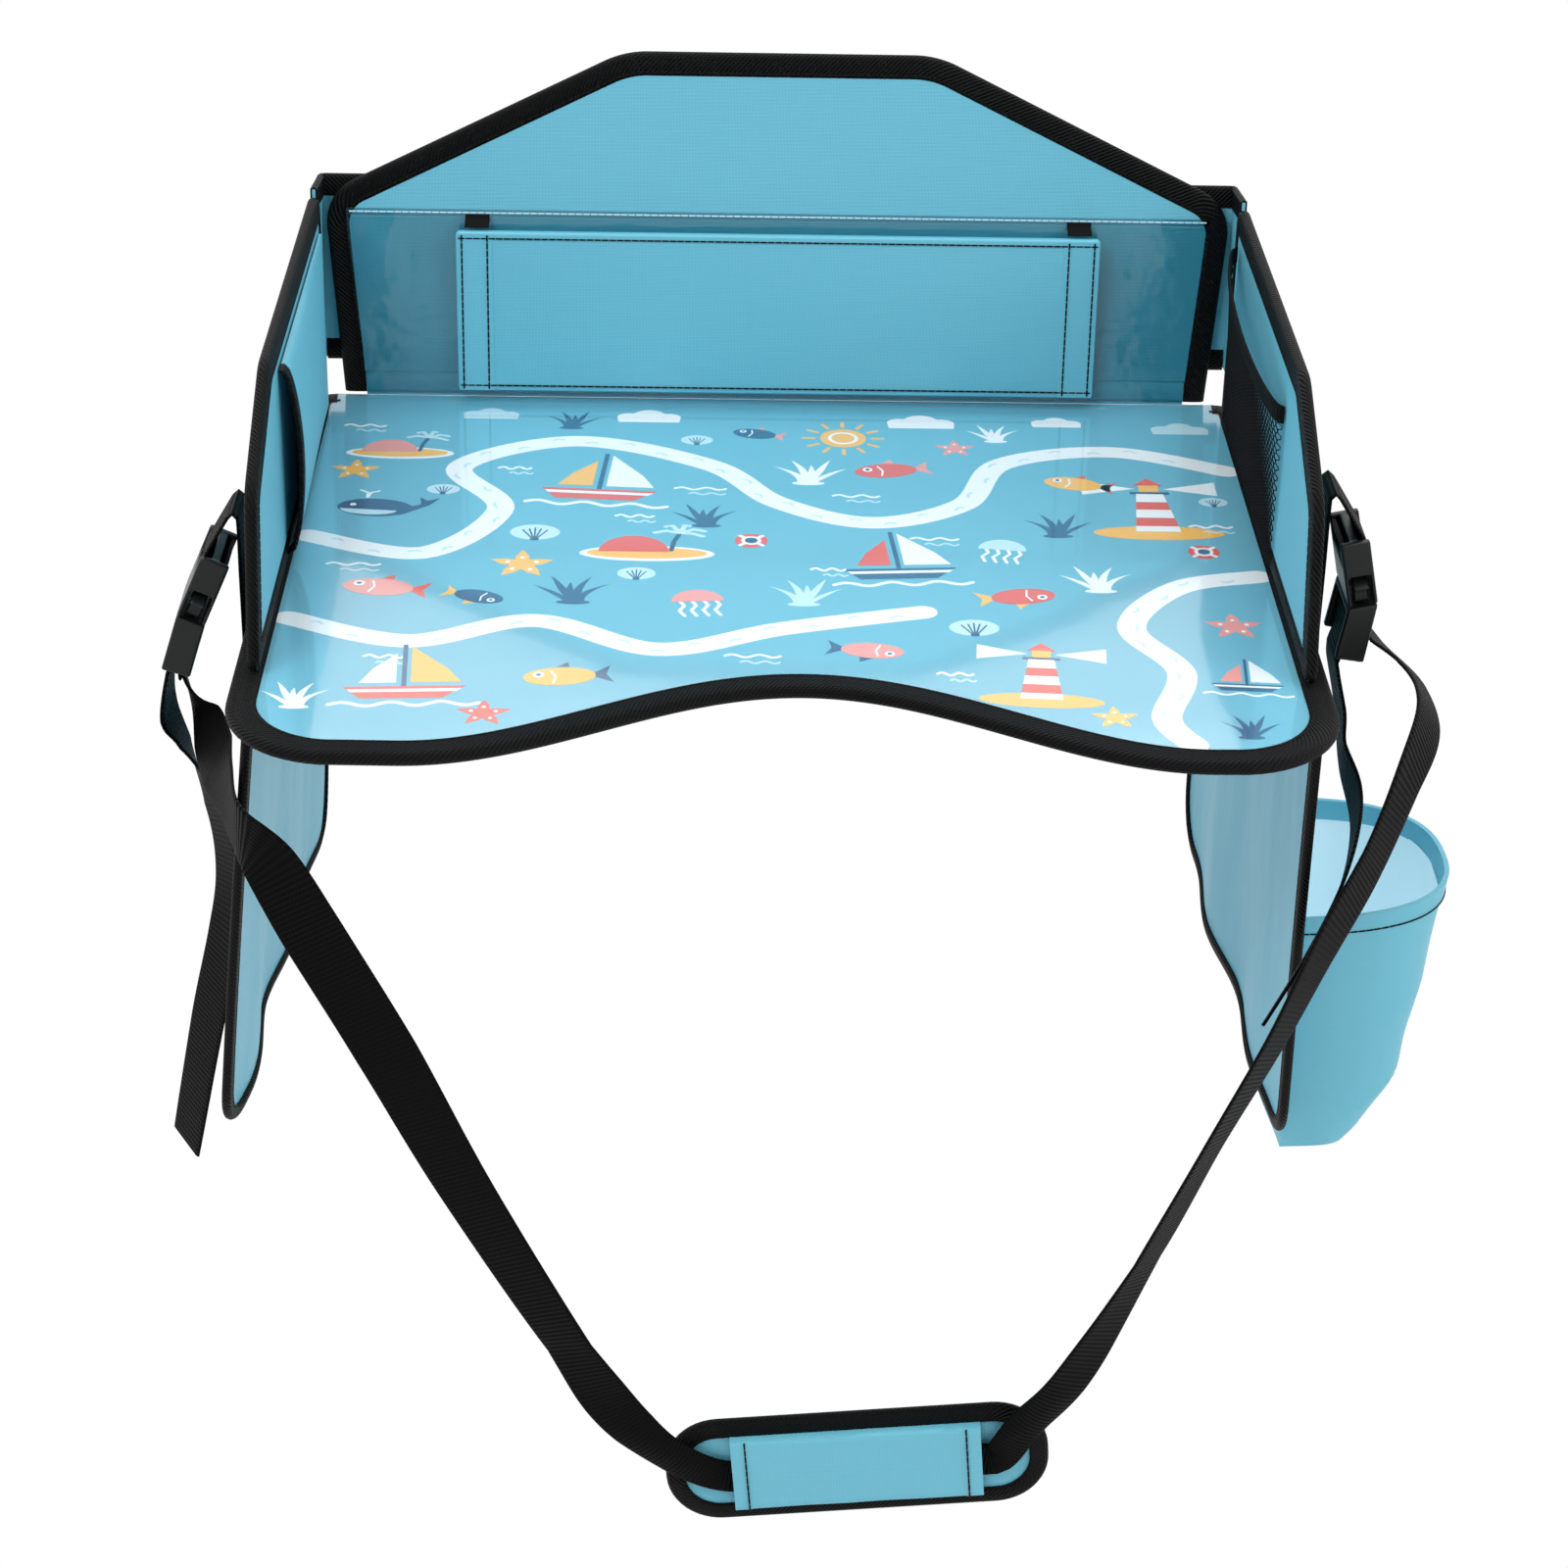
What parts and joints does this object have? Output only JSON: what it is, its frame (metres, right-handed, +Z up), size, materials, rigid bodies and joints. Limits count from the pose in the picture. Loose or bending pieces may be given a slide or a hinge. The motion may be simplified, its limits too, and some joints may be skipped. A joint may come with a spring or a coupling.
{
  "type": "car seat tray table",
  "caption": "Soft travel tray for a child's car seat, with fold-up panels, hanging flaps, a cup pouch, side pockets, a tablet band and a buckled strap with a shoulder pad.",
  "frame": {"origin": "middle of the tray's underside, where it rests on the lap", "axes": "+Z up, +Y towards the back panel, +X towards the side with the cup pouch"},
  "size_m": [0.5399, 0.4084, 0.5143],
  "materials": {
    "fabric_blue": "blue woven cloth",
    "print_blue": "printed cloth under a clear film",
    "webbing_black": "black woven tape and webbing",
    "buckle_black": "satin moulded plastic",
    "board": "plain stiff sheet",
    "clear_vinyl": "clear glossy film",
    "elastic_black": "black elastic and net"
  },
  "bodies": {
    "tray": {"tray_board": "board", "tray_print_sheet": "print_blue", "tray_clear_film": "clear_vinyl", "tray_underside": "fabric_blue", "tray_binding": "webbing_black"},
    "back_panel": {"back_board": "board", "back_front_fabric": "fabric_blue", "back_rear_fabric": "fabric_blue", "back_binding": "webbing_black", "back_clear_pocket": "clear_vinyl", "back_pocket_hem": "fabric_blue", "wrap_left": "fabric_blue", "wrap_right": "fabric_blue", "wrap_binding_left": "webbing_black", "wrap_binding_right": "webbing_black", "holder_elastic_left": "elastic_black", "holder_elastic_right": "elastic_black"},
    "tablet_band": {"holder_lining": "fabric_blue", "holder_stiffener": "board", "holder_front": "fabric_blue"},
    "left_side_panel": {"left_side_board": "board", "left_side_lining": "fabric_blue", "left_side_outer": "fabric_blue", "left_side_binding": "webbing_black", "left_cloth_pocket": "fabric_blue", "left_pocket_binding": "webbing_black"},
    "right_side_panel": {"right_side_board": "board", "right_side_lining": "fabric_blue", "right_side_outer": "fabric_blue", "right_side_binding": "webbing_black", "right_mesh_pocket": "elastic_black", "right_pocket_elastic": "elastic_black"},
    "left_flap": {"left_flap_cloth": "fabric_blue", "left_flap_binding": "webbing_black"},
    "right_flap": {"right_flap_cloth": "fabric_blue", "right_flap_binding": "webbing_black", "cup_pouch": "fabric_blue", "cup_hem": "fabric_blue"},
    "harness": {"left_anchor_webbing": "webbing_black", "right_anchor_webbing": "webbing_black", "left_buckle_socket": "buckle_black", "right_buckle_socket": "buckle_black"},
    "left_release": {"left_buckle_clip": "buckle_black", "left_strap": "webbing_black", "pad_backing": "fabric_blue", "pad_binding": "webbing_black", "pad_cushion": "fabric_blue", "pad_sleeve": "fabric_blue"},
    "right_release": {"right_buckle_clip": "buckle_black", "right_strap": "webbing_black"},
    "left_front_prong": {"left_prong_front": "buckle_black"},
    "left_rear_prong": {"left_prong_rear": "buckle_black"},
    "right_front_prong": {"right_prong_front": "buckle_black"},
    "right_rear_prong": {"right_prong_rear": "buckle_black"}
  },
  "joints": [
    {"name": "back_fold", "type": "hinge", "parent": "tray", "child": "back_panel", "pos_m": [0, 0.178, 0.0065], "axis": [-1, 0, 0], "range_deg": [0, 82]},
    {"name": "band_tilt", "type": "hinge", "parent": "back_panel", "child": "tablet_band", "pos_m": [0, 0.17433, 0.01055], "axis": [1, 0, 0], "range_deg": [0, 14], "stiffness_Nm_per_rad": 0.1, "springref_deg": -22.92, "deforming": ["holder_elastic_left", "holder_elastic_right"]},
    {"name": "left_side_fold", "type": "hinge", "parent": "tray", "child": "left_side_panel", "pos_m": [-0.205, 0, 0.0065], "axis": [0, 1, 0], "range_deg": [0, 60]},
    {"name": "right_side_fold", "type": "hinge", "parent": "tray", "child": "right_side_panel", "pos_m": [0.205, 0, 0.0065], "axis": [0, -1, 0], "range_deg": [0, 60]},
    {"name": "left_flap_swing", "type": "hinge", "parent": "tray", "child": "left_flap", "pos_m": [-0.2045, 0, -0.00075], "axis": [0, -1, 0], "range_deg": [0, 65]},
    {"name": "right_flap_swing", "type": "hinge", "parent": "tray", "child": "right_flap", "pos_m": [0.2045, 0, -0.00044], "axis": [0, 1, 0], "range_deg": [0, 65]},
    {"name": "harness_swing", "type": "hinge", "parent": "tray", "child": "harness", "pos_m": [0, -0.052, 0], "axis": [-1, 0, 0], "range_deg": [0, 90]},
    {"name": "left_clip_release", "type": "slide", "parent": "harness", "child": "left_release", "axis": [-0.3987, 0, -0.9171], "range_m": [0, 0.022]},
    {"name": "right_clip_release", "type": "slide", "parent": "harness", "child": "right_release", "axis": [0.2079, 0, -0.9781], "range_m": [0, 0.022]},
    {"name": "left_front_squeeze", "type": "hinge", "parent": "left_release", "child": "left_front_prong", "pos_m": [-0.23755, -0.0635, 0.00805], "axis": [-0.9171, 0, 0.3987], "range_deg": [0, 8], "stiffness_Nm_per_rad": 0.05},
    {"name": "left_rear_squeeze", "type": "hinge", "parent": "left_release", "child": "left_rear_prong", "pos_m": [-0.23755, -0.0405, 0.00805], "axis": [0.9171, 0, -0.3987], "range_deg": [0, 8], "stiffness_Nm_per_rad": 0.05},
    {"name": "right_front_squeeze", "type": "hinge", "parent": "right_release", "child": "right_front_prong", "pos_m": [0.23373, -0.0635, 0.02094], "axis": [-0.9781, 0, -0.2079], "range_deg": [0, 8], "stiffness_Nm_per_rad": 0.05},
    {"name": "right_rear_squeeze", "type": "hinge", "parent": "right_release", "child": "right_rear_prong", "pos_m": [0.23373, -0.0405, 0.02094], "axis": [0.9781, 0, 0.2079], "range_deg": [0, 8], "stiffness_Nm_per_rad": 0.05}
  ],
  "couplings": [
    {"joint": "right_clip_release", "follows": "left_clip_release", "ratio": 1},
    {"joint": "left_rear_squeeze", "follows": "left_front_squeeze", "ratio": 1},
    {"joint": "right_rear_squeeze", "follows": "right_front_squeeze", "ratio": 1}
  ]
}
